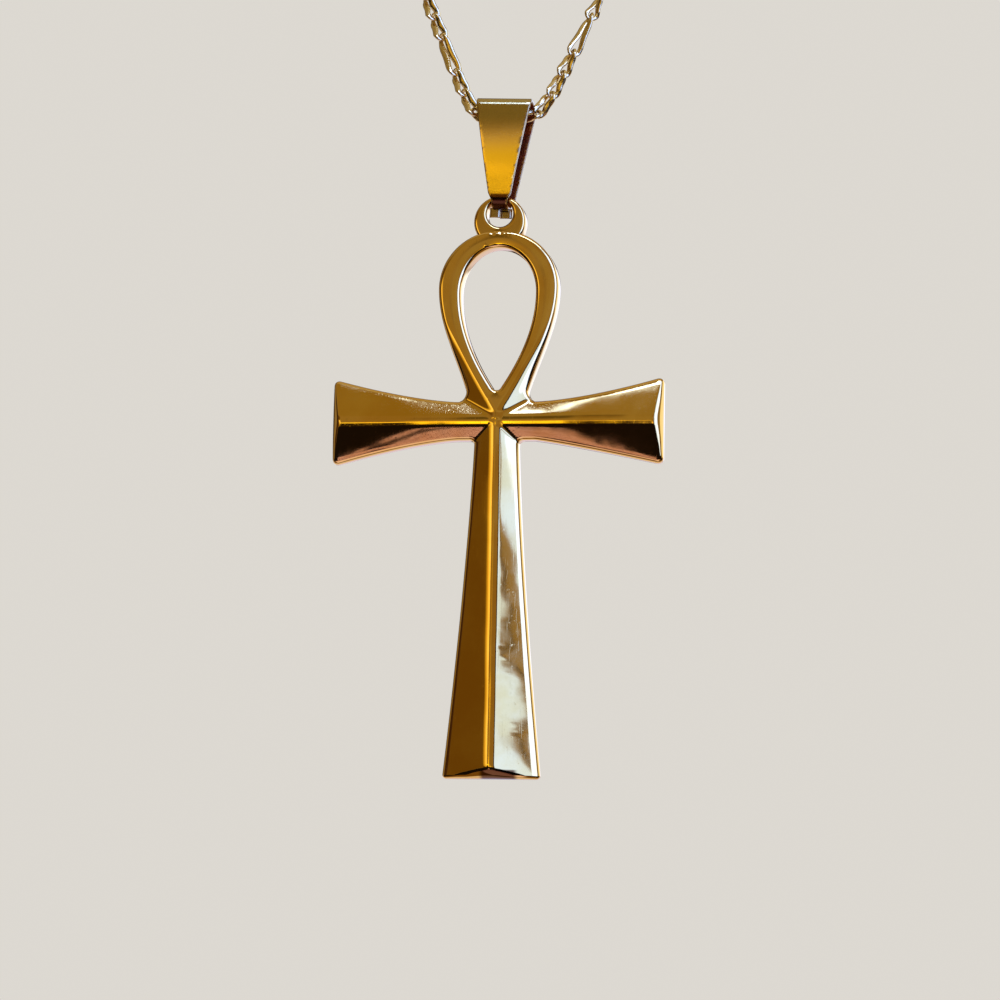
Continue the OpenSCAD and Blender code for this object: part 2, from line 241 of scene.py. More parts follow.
def plan_patches():
    """The cross in plan as grids of points that share their seams:
    centre, stem, right arm, left arm, and the loop's band round its opening."""
    columns = across(np.array([LOW_CORNER[0]]))[0]
    low = np.stack([columns, np.full_like(columns, LOW_CORNER[1])], 1)
    scale = columns / LOW_CORNER[0]
    high = np.stack([HIGH_CORNER[0] * scale, np.full_like(scale, HIGH_CORNER[1])], 1)
    rows = across(np.array([BAR_H[0] / 2]))[0]
    v = (rows - rows[0]) / (rows[-1] - rows[0])
    right = LOW_CORNER + (HIGH_CORNER - LOW_CORNER) * v[:, None]
    centre = low[None] + (high - low)[None] * v[:, None, None]
    # the stem, from the centre's lower edge down to the foot
    y = LOW_CORNER[1] - (STEM_DROP + LOW_CORNER[1]) * np.linspace(0, 1, STEM_ROWS)
    fillet = LOW_CORNER[1] - np.linspace(0, FILLET, 9)
    y = np.unique(np.concatenate([y, -STEM_DROP + EDGE, fillet]))[::-1]
    x = across(stem_half(y))
    stem = np.stack([x, np.broadcast_to(y[:, None], x.shape)], -1)
    stem[0] = low
    # an arm, from the centre's slanted edge out to its end
    end = BAR_W / 2
    x = np.unique(np.concatenate([np.linspace(HIGH_CORNER[0] + 0.1, end, ARM_ROWS), end - EDGE]))
    outward = np.linspace(0, 1, LEAD_ROWS)[:-1, None]
    lead = right[None, :, 0] + (x[0] - right[None, :, 0]) * outward
    x = np.concatenate([lead, np.broadcast_to(x[:, None], (len(x), len(rows)))])
    own = np.arange(len(rows))
    back_to_seam = np.clip(1 - np.arange(len(x)) / len(lead), 0, 1)[:, None]
    arms = []
    for (low_flare, high_flare), side in zip(ARM_FLARES, (1, -1)):
        y = across(bar_half(x, high_flare))[..., own, own]
        y_low = across(bar_half(x, low_flare))[..., own, own]
        y = np.where(rows < 0, y_low, y) - BAR_DROP
        off = (right[:, 1] - y[0])[None] * back_to_seam
        arms.append(np.stack([side * x, y + off], -1))
    # the loop's band: outer line round from the seam, inner line round from the tip
    outer, inner = loop_lines()
    out_right = evenly(outer, BAND_STATIONS)
    s_in = travelled(inner)
    t0 = TIP_REACH / s_in[-1]
    rest = t0 + (1 - t0) * np.linspace(0, 1, BAND_STATIONS)[1:]
    take = np.concatenate([scale[scale >= 0] * t0, rest])
    in_right = np.stack([np.interp(take * s_in[-1], s_in, inner[:, k]) for k in (0, 1)], 1)
    out_right = np.concatenate([high[scale >= 0], out_right[1:]])
    ring_out = np.concatenate([out_right, (out_right * (-1, 1))[::-1][1:-1]])
    ring_in = np.concatenate([in_right, (in_right * (-1, 1))[::-1][1:-1]])
    gap = np.linalg.norm(ring_out - ring_in, axis=1)[:, None]
    inside = np.broadcast_to(EDGE, (len(gap), len(EDGE)))
    middle = EDGE[-1] + (gap - 2 * EDGE[-1]) * np.linspace(0, 1, BAND_ROWS)[1:-1]
    across_band = np.concatenate([inside, middle, gap - EDGE[::-1]], 1) / gap
    band = ring_in[:, None] + (ring_out - ring_in)[:, None] * across_band[..., None]
    return centre, stem, *arms, band


def outline_distance(points, lines):
    """Shortest distance in plan from each point to any of the closed outlines."""
    flat = points.reshape(-1, 2)
    best = np.full(len(flat), 1e9)
    for line in lines:
        a, b = line, np.roll(line, -1, 0)
        run = b - a
        length = (run ** 2).sum(1)
        keep = length > 1e-12
        a, run, length = a[keep], run[keep], length[keep]
        for part in np.array_split(np.arange(len(flat)), max(1, len(flat) // NEAREST_CHUNK)):
            off = flat[part, None] - a[None]
            t = np.clip((off * run).sum(-1) / length, 0, 1)
            away = np.linalg.norm(off - t[..., None] * run, axis=-1)
            best[part] = np.minimum(best[part], away.min(1))
    return best.reshape(points.shape[:-1])


# the line on the right past which the loop's front falls away towards the arm, and its slope
CREST_FROM, CREST_TO = np.array([6.1, -14.3]), np.array([0.0, 0.3 - BAR_DROP])
CREST_FALL = 0.31
# how much steeper the facets are near the crossing, and over what length;
# the crossbar has one length above its ridge and one below
STEM_STEEPER, STEM_REACH = 0.06, 8.0
BAR_STEEPER, BAR_REACH_HIGH, BAR_REACH_LOW = 0.085, 9.0, 12.0
# widths of the fillets between stem and bar, and between those and the loop
VALLEY, LOOP_VALLEY = 0.10, 0.22
# the foot and the ends of the arms slope up from this height, and blend in this softly
TIP_HEIGHT, TIP_SOFT, FOOT_SLOPE, END_SLOPE = 1.55, 0.8, 1.2, 1.6
PITS = np.array([
    # x, y, radius, height: small hollows (below 0) and beads (above 0) left in the casting
    (1.05, -52.0, 0.13, -0.007), (1.5, -53.3, 0.14, 0.007), (1.8, -54.1, 0.12, -0.007),
    (2.05, -55.2, 0.13, 0.007), (2.6, -56.0, 0.12, -0.006), (1.5, -58.0, 0.14, -0.006),
    (1.9, -59.3, 0.14, 0.006), (2.3, -60.4, 0.15, -0.007), (2.5, -61.2, 0.13, 0.007),
    (3.1, -62.2, 0.12, -0.006), (-1.3, -2.2, 0.19, -0.09), (-0.8, -2.3, 0.2, -0.12),
    (-0.3, -2.25, 0.18, -0.09), (0.2, -2.3, 0.2, -0.12), (0.7, -2.25, 0.19, -0.10),
    (1.2, -2.2, 0.19, -0.09), (-1.55, -3.9, 0.16, 0.05), (4.15, -11.2, 0.16, 0.03),
])
WAVES = np.array([
    # length in mm, direction in degrees, phase, height in mm
    (9.0, 70, 0.3, 0.006), (6.2, 20, 1.9, 0.0022), (4.1, 115, 4.0, 0.0012),
    (13.0, 95, 2.2, 0.012), (2.6, 48, 0.9, 0.0004),
])


def front_height(x, y, d):
    """Height of the front: the highest of the stem's ridge, the crossbar's ridge and the loop's
    low dome, with fillets in the valleys, a slow wave left by hand polishing, small hollows and
    beads, and round edges."""
    down = np.maximum(-BAR_DROP - y, 0)
    half_stem = flared(down / (STEM_DROP - BAR_DROP), STEM_W)
    stem = ridge(np.hypot(x, np.maximum(y + BAR_DROP, 0)), half_stem, down,
                 FACET_FALL, STEM_STEEPER, STEM_REACH)
    half_bar = flared(np.abs(x) / (BAR_W / 2), BAR_H)
    bar = ridge(np.abs(y + BAR_DROP), half_bar, np.abs(x),
                BAR_FALL, BAR_STEEPER, np.where(y > -BAR_DROP, BAR_REACH_HIGH, BAR_REACH_LOW))
    run = CREST_TO - CREST_FROM
    run = run / np.linalg.norm(run)
    out = -(np.abs(x) - CREST_FROM[0]) * run[1] + (y - CREST_FROM[1]) * run[0]
    out = np.where(y > -BAR_DROP + 0.2, out, 1e3)
    loop = CAST_T - CREST_FALL * soft_max(out, 0 * out, 0.5)
    loop = loop - LOOP_DOME * (1 - np.clip(d / BAND_HALF, 0, 1)) ** 2 * np.clip(2 - out, 0, 1)
    h = soft_max(soft_max(stem, bar, VALLEY), loop, LOOP_VALLEY)
    foot = TIP_HEIGHT + FOOT_SLOPE * (y + STEM_DROP)
    end = TIP_HEIGHT + END_SLOPE * (BAR_W / 2 - np.abs(x))
    h = soft_min(h, np.minimum(foot, end), TIP_SOFT)
    for length, way, phase, tall in WAVES:
        k, way = 2 * math.pi / length, math.radians(way)
        h = h + tall * np.sin(k * (x * math.cos(way) + y * math.sin(way)) + phase)
    for px, py, r, tall in PITS:
        h = h + tall * np.exp(-((x - px) ** 2 + (y - py) ** 2) / (r * r))
    near = np.clip(TOP_R - d, 0, TOP_R)
    return h - TOP_R + np.sqrt(TOP_R ** 2 - near ** 2)


def back_height(d):
    """The flat back, rounded up to the wall along the outline."""
    return fallen(d, BACK_R)


def standing(plan, height):
    """Plan points and heights turned upright, with the back towards the wearer."""
    return np.stack([plan[..., 0], CAST_T / 2 - height, plan[..., 1]], -1) + EYE_AT


def casting_parts(patches, outlines, front, back, place=standing):
    """Front, back and wall of each plan grid.
    A patch is (grid, closed round or not, the free edges as index pairs)."""
    parts = []
    for grid, closed, edges in patches:
        d = outline_distance(grid, outlines)
        d = np.where(d < 1e-6, 0, d)
        top = place(grid, front(grid[..., 0], grid[..., 1], d))
        low = place(grid, back(d))
        face = quads(*grid.shape[:2], round_rows=closed)
        parts += [(top, face), (low, face)]
        for edge in edges:
            t = np.linspace(0, 1, WALL_ROWS + 1)[:, None, None]
            wall = top[edge][None] * (1 - t) + low[edge][None] * t
            parts.append((wall, quads(*wall.shape[:2])))
    return parts


def circle(radius, centre, count):
    """Points at equal steps round a circle in plan."""
    a = np.linspace(0, 2 * math.pi, count, endpoint=False)
    return np.stack([centre[0] + radius * np.cos(a), centre[1] + radius * np.sin(a)], 1)


def cross_parts():
    """Grids of the cross without its eye, with walls along the outline and round the opening."""
    centre, stem, arm, arm_l, band = plan_patches()
    half_loop = loop_lines()[0]
    outer = np.concatenate([
        half_loop, (half_loop * (-1, 1))[::-1], arm_l[:, -1], arm_l[-1, ::-1], arm_l[::-1, 0],
        stem[:, 0], stem[-1], stem[::-1, -1], arm[:, 0], arm[-1], arm[::-1, -1],
    ])
    every = slice(None)
    three = ((every, 0), (every, -1), (-1, every))
    seam = (stem.shape[1] - 1) // 2
    round_trip = np.arange(len(band) + 1) % len(band)
    free = np.arange(seam, len(band) - seam + 1)
    patches = [
        (centre, False, ()), (stem, False, three), (arm, False, three), (arm_l, False, three),
        (band, True, ((round_trip, 0), (free, -1))),
    ]
    return casting_parts(patches, (outer, band[:, 0]), front_height, back_height)


def eye_parts():
    """The eye: a flat ring between two circles that don't share a centre, rounded at its edges."""
    count, round_r = 96, 0.34
    hole = circle(EYE_HOLE_R, (0, 0), count)
    rim = circle(EYE_R, (0, -EYE_SET), count)
    gap = np.linalg.norm(rim - hole, axis=1)[:, None]
    edge = np.minimum(round_r, gap / 2.2) * (1 - np.cos(np.linspace(0, math.pi / 2, 7)))
    middle = edge[:, -1:] + (gap - 2 * edge[:, -1:]) * np.linspace(0, 1, 7)[1:-1]
    t = np.concatenate([edge, middle, gap - edge[:, ::-1]], 1) / gap
    grid = hole[:, None] + (rim - hole)[:, None] * t[..., None]
    around = np.arange(count + 1) % count
    low, high = (CAST_T - EYE_T) / 2, (CAST_T + EYE_T) / 2
    return casting_parts(
        [(grid, True, ((around, 0), (around, -1)))], (hole, rim),
        lambda x, y, d: high - fallen(d, round_r), lambda d: low + fallen(d, round_r),
    )


# ---- the bail: one strip, folded over the chain ----

# radius of the cut edges, rise of the faces' middle, and how far the front bows out
CUT_R, CROWN, BOW = 0.09, 0.02, 0.3
FACE_POINTS, TAB_POINTS = 15, 13
# the two turned-down ends: from and to across, and place in depth; then top, foot and thickness
TABS = ((-1.30, -0.03, -0.45), (-0.10, 1.30, 0.10))
TAB_SIZE = (0.80, -0.42, 0.32)
# how much of the cut edges' finish the tabs have
TAB_CUT = 0.7


def fold_line(inset):
    """The strip's closed line from the side as (y, z): square shoulders above, straps that close in
    downwards, and a bar below. The stations are the same at every inset, so lines match."""
    fold, foot = BAIL["fold_r"] - inset, BAIL["foot_r"] - inset
    half, heel = BAIL["depth"] / 2 - inset, BAIL["foot_depth"] / 2 - inset
    top, low = BAIL["rise"] - inset, BAIL["bar_low"] + inset
    a = np.linspace(math.pi / 2, 0, 13)
    upper = np.stack([half - fold + fold * np.cos(a), top - fold + fold * np.sin(a)], 1)
    a = np.linspace(0, -math.pi / 2, 13)
    lower = np.stack([heel - foot + foot * np.cos(a), low + foot + foot * np.sin(a)], 1)
    t = np.linspace(0, 1, 40)[1:-1, None]
    strap = upper[-1] * (1 - t) + lower[0] * t
    half_bar = np.stack([np.linspace(lower[-1, 0], 0, 6)[1:], np.full(5, low)], 1)
    half_top = np.stack([np.linspace(0, upper[0, 0], 6)[:-1], np.full(5, top)], 1)
    right = np.concatenate([half_top, upper, strap, lower, half_bar])
    return np.concatenate([right, (right * (-1, 1))[::-1][1:-1]])


def bail_half(z):
    """Half of the strip's width at a height: wide at the fold, narrow at the foot,
    narrowest in the eye."""
    fold = BAIL["rise"] - BAIL["fold_r"] / 2
    heights = (0.0, BAIL["bar_top"], BAIL["taper_end"], fold, BAIL["rise"])
    widths = (BAIL["bar_w"], BAIL["bar_w"], BAIL["foot_w"], BAIL["fold_w"], BAIL["fold_w"])
    return np.interp(z, heights, widths) / 2


def leaning(x, y, z):
    """Points of the bail, measured from the eye, leaned in its own plane."""
    a = math.radians(BAIL["lean"])
    turned = [x * math.cos(a) + z * math.sin(a), y, z * math.cos(a) - x * math.sin(a)]
    return np.stack(turned, -1) + EYE_AT


def bail_parts():
    """The strip's section, a flat bar with round cut edges, carried round the fold line.
    Gives the grid, and at each point: the way along the strip, and whether the point is on a cut
    edge, on the inside, or under the foot."""
    outer, inner = fold_line(0), fold_line(BAIL["strip"])
    half = bail_half(outer[:, 1])[:, None]
    across_face = np.linspace(-1, 1, FACE_POINTS)
    a = np.linspace(0, math.pi / 2, 4)
    depth = CUT_R / BAIL["strip"]
    face, set_in = np.full(FACE_POINTS, 0.0), np.full(FACE_POINTS, CUT_R)
    side_in = CUT_R * (1 - np.sin(a))
    side_deep = depth * (1 - np.cos(a))
    # u: -1..1 share of the width less the round edge; e: how far the edge is set in;
    # v: depth in the strip
    u = np.concatenate([across_face, np.ones(8), -across_face, -np.ones(8)])
    e = np.concatenate([set_in, side_in, side_in[::-1], set_in, side_in, side_in[::-1]])
    v = np.concatenate([
        face, side_deep, 1 - side_deep[::-1], face + 1, 1 - side_deep, side_deep[::-1],
    ])
    cut = np.concatenate([face, np.ones(8), face, np.ones(8)])
    x = u * (half - e)
    line = outer[:, None] * (1 - v[None, :, None]) + inner[:, None] * v[None, :, None]
    middle = np.clip(1 - (x / half) ** 2, 0, 1) * np.where(cut > 0, 0, 1)
    above_foot = np.clip((outer[:, 1:2] - BAIL["taper_end"]) / 2, 0, 1)
    below_fold = np.clip((BAIL["rise"] - 1 - outer[:, 1:2]) / 2, 0, 1)
    crowned = above_foot * below_fold
    up = (line[..., 1] - BAIL["taper_end"]) / (BAIL["rise"] - BAIL["fold_r"] - BAIL["taper_end"])
    bow = BOW * np.clip(1 - (2 * up - 1) ** 2, 0, 1) * (outer[:, :1] < 0)
    y = line[..., 0] + np.sign(outer[:, :1]) * CROWN * middle * crowned - bow
    points = leaning(x, y, line[..., 1])
    s = travelled(outer)
    along = np.broadcast_to(s[:, None], x.shape)
    under = np.clip((BAIL["taper_end"] + 0.1 - outer[:, 1:2]) / 0.3, 0, 1) * (v < 0.5)
    inside = np.broadcast_to(v > 0.5, x.shape) * (cut == 0)
    grid = (points, quads(*x.shape, round_rows=True, round_cols=True))
    return grid, along, cut + 0 * x, inside, under * (cut == 0)


def tab_parts(x0, x1, y, top, foot, thick):
    """One turned-down end of the strip inside the eye: a plate with a bowed face that thins
    towards its edges, closed by a rim on its four sides."""
    steps = np.linspace(-1, 1, TAB_POINTS)
    u, v = np.meshgrid(steps, steps, indexing="ij")
    mid, half = (x0 + x1) / 2, (x1 - x0) / 2
    ease = lambda t: np.sign(t) * (1 - (1 - np.abs(t)) ** 1.6)
    puff = 0.25 + 0.75 * np.sqrt(np.clip(1 - u ** 8, 0, 1)) * np.sqrt(np.clip(1 - v ** 8, 0, 1))
    x = mid + half * ease(u)
    z = (top + foot) / 2 + (top - foot) / 2 * ease(v)
    bow = 0.10 * (1 - u ** 2) - 0.06 * (v + 1)
    front = leaning(x, y - thick / 2 * puff - bow, z)
    back = leaning(x, y + thick / 2 * puff - bow, z)
    face, strip = quads(TAB_POINTS, TAB_POINTS), quads(2, TAB_POINTS)
    every = slice(None)
    rims = [(front[edge], back[edge]) for edge in (0, -1, (every, 0), (every, -1))]
    return [(front, face), (back, face)] + [(np.stack(rim), strip) for rim in rims]


# ---- the chain: links along one route ----

# the wire's faces are cut flat at this share of its radius, and it is broader in the link's plane
# by this share, a little more in links longer than LONG_FROM; waists are narrower by NARROWER
FLATTEN, BROADER, LONG_BROADER, LONG_FROM, NARROWER = 0.8, 0.86, 1.1, 4, 0.17
# the right half is turned about its run by this many degrees, eased in and out over so many links
ROLLED, ROLL_IN, ROLL_OUT = -50.0, 5, 30
# the first links have the finer grid: turns at each end, stations on each side, points round
FINE_LINKS, FINE_GRID, FAR_GRID = 18, (9, 7, 10), (6, 3, 6)
SPAN_STEPS = 14
# the ring's solder joint: its angle in radians, extra radius as a share, and width in radians
SOLDER_AT, SOLDER_RISE, SOLDER_WIDTH = 1.9, 0.07, 0.09


def route_line(side):
    """A Catmull-Rom curve through the route's points on one side, from the joint in the bail."""
    p = np.concatenate([[TURNS[side]], ROUTE * (side, 1, 1)])
    q = np.concatenate([[2 * p[0] - p[1]], p, [p[-2] * (-1, 1, 1)]])
    t = (np.arange(SPAN_STEPS) / SPAN_STEPS)[:, None]
    spans = [
        0.5 * (2 * q[i] + (q[i + 1] - q[i - 1]) * t
               + (2 * q[i - 1] - 5 * q[i] + 4 * q[i + 1] - q[i + 2]) * t ** 2
               + (3 * q[i] - q[i - 1] - 3 * q[i + 1] + q[i + 2]) * t ** 3)
        for i in range(1, len(q) - 2)
    ]
    return np.concatenate([[BAIL_JOINT], *spans, [p[-1]]])


def chain_joints(side):
    """The points where links meet: straight steps along the route, three short and one long
    in turn."""
    line = route_line(side)
    s = travelled(line)
    at = lambda d: np.array([np.interp(d, s, line[:, k]) for k in range(3)])
    found, here = [at(0)], 0.0
    for k in range(CHAIN["count"]):
        long_one = k % 4 == 0 if side > 0 else k % 4 == 3
        pitch = CHAIN["long"] if long_one else CHAIN["short"]
        there = here + pitch
        for _ in range(5):
            there += pitch - np.linalg.norm(at(there) - at(here))
        found.append(at(there))
        here = there
    return np.array(found)


def unit(v):
    return v / np.linalg.norm(v, axis=-1, keepdims=True)


def link_line(a, end, waist, turns, sides):
    """A link's centre line in its own plane: half circles at the ends and a soft waist between."""
    q = np.linspace(-math.pi / 2, math.pi / 2, turns)
    cap = np.stack([a - end + end * np.cos(q), end * np.sin(q)], 1)
    x = (a - end) * np.linspace(1, -1, sides + 2)[1:-1]
    y = waist + (end - waist) * np.sin(math.pi / 2 * x / (a - end)) ** 2
    top = np.stack([x, y], 1)
    return np.concatenate([cap, top, -cap, -top])


def links(side):
    """Every link of one half: its flattened wire carried round a line that is twisted end
    against end. Links near the bail have more stations than the far ones."""
    at = chain_joints(side)
    steps = unit(np.diff(at, axis=0))
    before = np.concatenate([steps[:1], steps])
    after = np.concatenate([steps, steps[-1:]])
    reach = CHAIN["reach"] * unit(before + after)
    wire = CHAIN["wire"] / 2
    end = (CHAIN["ends"] - CHAIN["wire"]) / 2 - NARROWER / 2
    waist = (CHAIN["waist"] - CHAIN["wire"]) / 2 - NARROWER
    parts = []
    for k in range(CHAIN["count"]):
        start, stop = at[k] - reach[k], at[k + 1] + reach[k + 1]
        turns, sides, round_wire = FINE_GRID if k < FINE_LINKS else FAR_GRID
        long_one = np.linalg.norm(at[k + 1] - at[k]) > LONG_FROM
        wider = BROADER * (LONG_BROADER if long_one else 1.0)
        mid, run = (start + stop) / 2, unit(stop - start)
        away = np.array([mid[0], mid[1] - NECK_Y, 0.0])
        flat = unit(away - run * (away @ run))
        eased = min(max(k - 1, 0) / ROLL_IN, (CHAIN["count"] - 1 - k) / ROLL_OUT, 1)
        turned = math.radians(ROLLED) * eased if side > 0 else 0.0
        flat = flat * math.cos(turned) + np.cross(run, flat) * math.sin(turned)
        wide = np.cross(flat, run)
        a = np.linalg.norm(stop - start) / 2
        line = link_line(a, end, waist, turns, sides)
        t = np.clip(line[:, 0] / (a - end), -1, 1)
        last = 0.0 if k == CHAIN["count"] - 1 else CHAIN["twist"]
        roll = np.radians(np.where(t < 0, -CHAIN["twist"] * t, -last * t))[:, None]
        broad = wide * np.cos(roll) + flat * np.sin(roll)
        centre = run * line[:, :1] + broad * line[:, 1:]
        broader = np.cos(np.clip(line[:, :1] / (a - end * 0.6), -1, 1) * math.pi / 2) ** 0.5
        tangent = unit(np.roll(centre, -1, 0) - np.roll(centre, 1, 0))
        e1 = unit(centre - tangent * (centre * tangent).sum(1, keepdims=True))
        e2 = np.cross(tangent, e1)
        q = np.linspace(0, 2 * math.pi, round_wire, endpoint=False)[None, :, None]
        high = np.clip(np.sin(q), -FLATTEN, FLATTEN)
        in_plane = (e1 * (1 + wider * broader))[:, None] * np.cos(q)
        ring = mid + centre[:, None] + wire * (in_plane + e2[:, None] * high)
        parts.append((ring, quads(*ring.shape[:2], round_rows=True, round_cols=True)))
    return parts


def end_ring_at(side):
    """The middle of the end ring on one side, which hangs in the last link."""
    return chain_joints(side)[-1] - np.array([side * (RING_R - CHAIN["reach"]), 0, 0])


def ring_parts(side):
    """A round wire ring, slightly thicker where its ends are soldered together."""
    a = np.linspace(0, 2 * math.pi, 64, endpoint=False)[:, None]
    q = np.linspace(0, 2 * math.pi, 14, endpoint=False)[None]
    off = np.angle(np.exp(1j * (a - side * SOLDER_AT)))
    joint = 1 + SOLDER_RISE * np.exp(-(off / SOLDER_WIDTH) ** 2)
    r = RING_WIRE / 2 * joint
    at = end_ring_at(side)
    out = RING_R + r * np.cos(q)
    ring = np.stack([out * np.cos(a), out * np.sin(a), r * np.sin(q) + 0 * a], -1)
    return [(ring + at, quads(64, 14, round_rows=True, round_cols=True))]


CLASP_T, CLASP_ROUND = 1.4, 0.5
# the claw's outer and inner radius, its straight length, and how far it reaches past its ring
CLAW_R, CLAW_OPEN_R, CLAW_LONG, CLAW_PAST = 2.0, 1.1, 1.3, 0.65
# the tail's eye, its hole, and the neck between eye and claw: place and radius
TAIL_R, TAIL_HOLE_R, NECK_AT, NECK_R = 1.45, 0.7, 1.3, 1.35
# the knob's radius and its way back from the claw's straight part; the depth of the gate's slits
KNOB_R, KNOB_BACK, SLIT_DEPTH = 0.5, 0.55, 0.11


def hull_line(circles, count):
    """The tight line round circles in a row, each (x, radius), as count points at equal steps."""
    a = np.linspace(0, 2 * math.pi, 721)[:-1]
    ways = np.stack([np.cos(a), np.sin(a)], 1)
    spans = np.array([x * ways[:, 0] + r for x, r in circles])
    best = spans.argmax(0)
    x0 = np.array([x for x, _ in circles])[best]
    r0 = np.array([r for _, r in circles])[best]
    line = np.stack([x0 + r0 * ways[:, 0], r0 * ways[:, 1]], 1)
    return evenly(np.concatenate([line, line[:1]]), count + 1)[:-1]


def clasp_parts():
    """A claw clasp with its gate shut: a pillowed band round the claw's opening, an eye at its
    tail and a knob under its gate."""
    left, right = end_ring_at(-1), end_ring_at(1)
    tail = left[0] + RING_R
    claw = right[0] - RING_R + CLAW_PAST - CLAW_OPEN_R
    at = np.array([0, (left[1] + right[1]) / 2, (left[2] + right[2]) / 2])
    place = lambda plan, h: np.stack([plan[..., 0], CLASP_T / 2 - h, plan[..., 1]], -1) + at
    share = 0.5 - 0.5 * np.cos(math.pi * np.linspace(0, 1, 20))
    outer = hull_line([(tail + NECK_AT, NECK_R), (claw - CLAW_LONG, CLAW_R), (claw, CLAW_R)], 160)
    inner = hull_line([(claw - CLAW_LONG, CLAW_OPEN_R), (claw, CLAW_OPEN_R)], 160)
    body = inner[:, None] + (outer - inner)[:, None] * share[None, :, None]
    rim, hole = circle(TAIL_R, (tail, 0), 80), circle(TAIL_HOLE_R, (tail, 0), 80)
    eye = hole[:, None] + (rim - hole)[:, None] * share[None, :, None]

    def front(x, y, d):
        """The pillowed front, with the fine slits along the gate and at its nose."""
        near = np.clip(CLASP_ROUND - d, 0, CLASP_ROUND)
        h = CLASP_T - CLASP_ROUND + np.sqrt(CLASP_ROUND ** 2 - near ** 2)
        gate = np.exp(-((y + 1.42 + 0.02 * x) / 0.07) ** 2) * (x > claw - 3.6) * (x < claw + 0.6)
        nose = np.exp(-((x - claw - 0.6) / 0.06) ** 2) * (y < 0)
        return h - SLIT_DEPTH * np.maximum(gate, nose) * np.clip(d / 0.2, 0, 1)

    def back(d):
        return fallen(d, CLASP_ROUND)

    def thin_front(x, y, d):
        return front(x, y, d) * 0.5 + CLASP_T * 0.33

    def thin_back(d):
        return back(d) * 0.5 + CLASP_T * 0.17

    parts = []
    for grid, lines, top, low in (
        (body, (inner, outer), front, back), (eye, (hole, rim), thin_front, thin_back),
    ):
        around = np.arange(len(grid) + 1) % len(grid)
        parts += casting_parts([(grid, True, ((around, 0), (around, -1)))], lines, top, low, place)
    around, down = np.linspace(0, 2 * math.pi, 25)[:-1], np.linspace(0, math.pi, 13)
    a, q = np.meshgrid(around, down, indexing="ij")
    out = KNOB_R * np.sin(q)
    knob = np.stack([out * np.cos(a), out * np.sin(a), KNOB_R * np.cos(q)], -1)
    knob_at = at + np.array([claw - CLAW_LONG - KNOB_BACK, 0, -CLAW_R])
    parts.append((knob + knob_at, quads(24, 13, round_rows=True)))
    return parts


# ---- finishes ----

class Wire:
    """A value inside a finish. Sums on it, with numbers or other values, add Math nodes."""

    def __init__(self, finish, socket):
        self.finish, self.socket = finish, socket

    def __add__(self, other):
        return self.finish.math("ADD", self, other)

    def __sub__(self, other):
        return self.finish.math("SUBTRACT", self, other)

    def __rsub__(self, other):
        return self.finish.math("SUBTRACT", other, self)

    def __mul__(self, other):
        return self.finish.math("MULTIPLY", self, other)

    __radd__, __rmul__ = __add__, __mul__


class Finish:
    """The nodes of one material, or of the room's light."""

    def __init__(self, owner):
        owner.use_nodes = True
        self.tree = owner.node_tree
        self.tree.nodes.clear()

    def node(self, kind, settings=None, inputs=None, out=0):
        """Adds a node: its settings, then values or wires for its sockets. Gives one output."""
        made = self.tree.nodes.new("ShaderNode" + kind)
        for key, value in (settings or {}).items():
            setattr(made, key, value)
        for key, value in (inputs or {}).items():
            if isinstance(value, Wire):
                self.tree.links.new(value.socket, made.inputs[key])
            else:
                made.inputs[key].default_value = value
        return Wire(self, made.outputs[out]) if made.outputs else None

    def math(self, operation, *values):
        """One sum or function of numbers and wires."""
        return self.node("Math", {"operation": operation}, dict(enumerate(values)))

    def blend(self, factor, first, second):
        """The first colour turning into the second as factor goes from 0 to 1."""
        return self.node("Mix", {"data_type": "RGBA"}, {0: factor, 6: first, 7: second}, out=2)

    def step(self, value, low, high):
        """0 below low and 1 above high, with a smooth step between."""
        return self.node(
            "MapRange", {"interpolation_type": "SMOOTHSTEP"},
            {"Value": value, "From Min": low, "From Max": high},
        )

    def place(self, stretch=(1, 1, 1), turn=0.0):
        """The place on the piece in millimetres, stretched and turned for a pattern."""
        at = self.node("TexCoord", out="Object")
        scale = tuple(PER_METRE * k for k in stretch)
        spin = (0, math.radians(turn), 0)
        return self.node("Mapping", None, {"Vector": at, "Scale": scale, "Rotation": spin})

    def carried(self, name):
        """A value that the mesh carries at its points."""
        return self.node("Attribute", {"attribute_name": name}, out="Fac")

    def noise(self, at, size, detail=3.0, rough=0.5, bend=0.0):
        """A cloudy pattern whose patches are about size millimetres across."""
        return self.node("TexNoise", None, {
            "Vector": at, "Scale": 1 / size, "Detail": detail, "Roughness": rough,
            "Distortion": bend,
        })

    def metal(self, colour, roughness, height, lift, metallic=1.0):
        """A metal surface with a bump of the given height pattern, lift metres deep."""
        bump = self.node("Bump", None, {"Height": height, "Strength": 1.0, "Distance": lift})
        surface = self.node("BsdfPrincipled", None, {
            "Base Color": colour, "Metallic": metallic, "Roughness": roughness, "Normal": bump,
        })
        self.node("OutputMaterial", None, {"Surface": surface})


GOLD, DEEP_GOLD = (0.86, 0.53, 0.14, 1), (0.80, 0.455, 0.095, 1)
WIRE_DEEP, WIRE_GOLD = (0.70, 0.46, 0.13, 1), (0.80, 0.57, 0.20, 1)
WIRE_RUBBED = (0.90, 0.70, 0.33, 1)
# The foot's brown is a painted reflection, which the room's light does not give: where it starts
# and is full, by height and across.
FOOT_PAINTED_REFLECTION = (0.12, 0.04, 0.01, 1)
FOOT_TOP, FOOT_LEFT, FOOT_RIGHT = (-214.65, -214.45), (-2.0, -1.3), (2.2, 2.9)
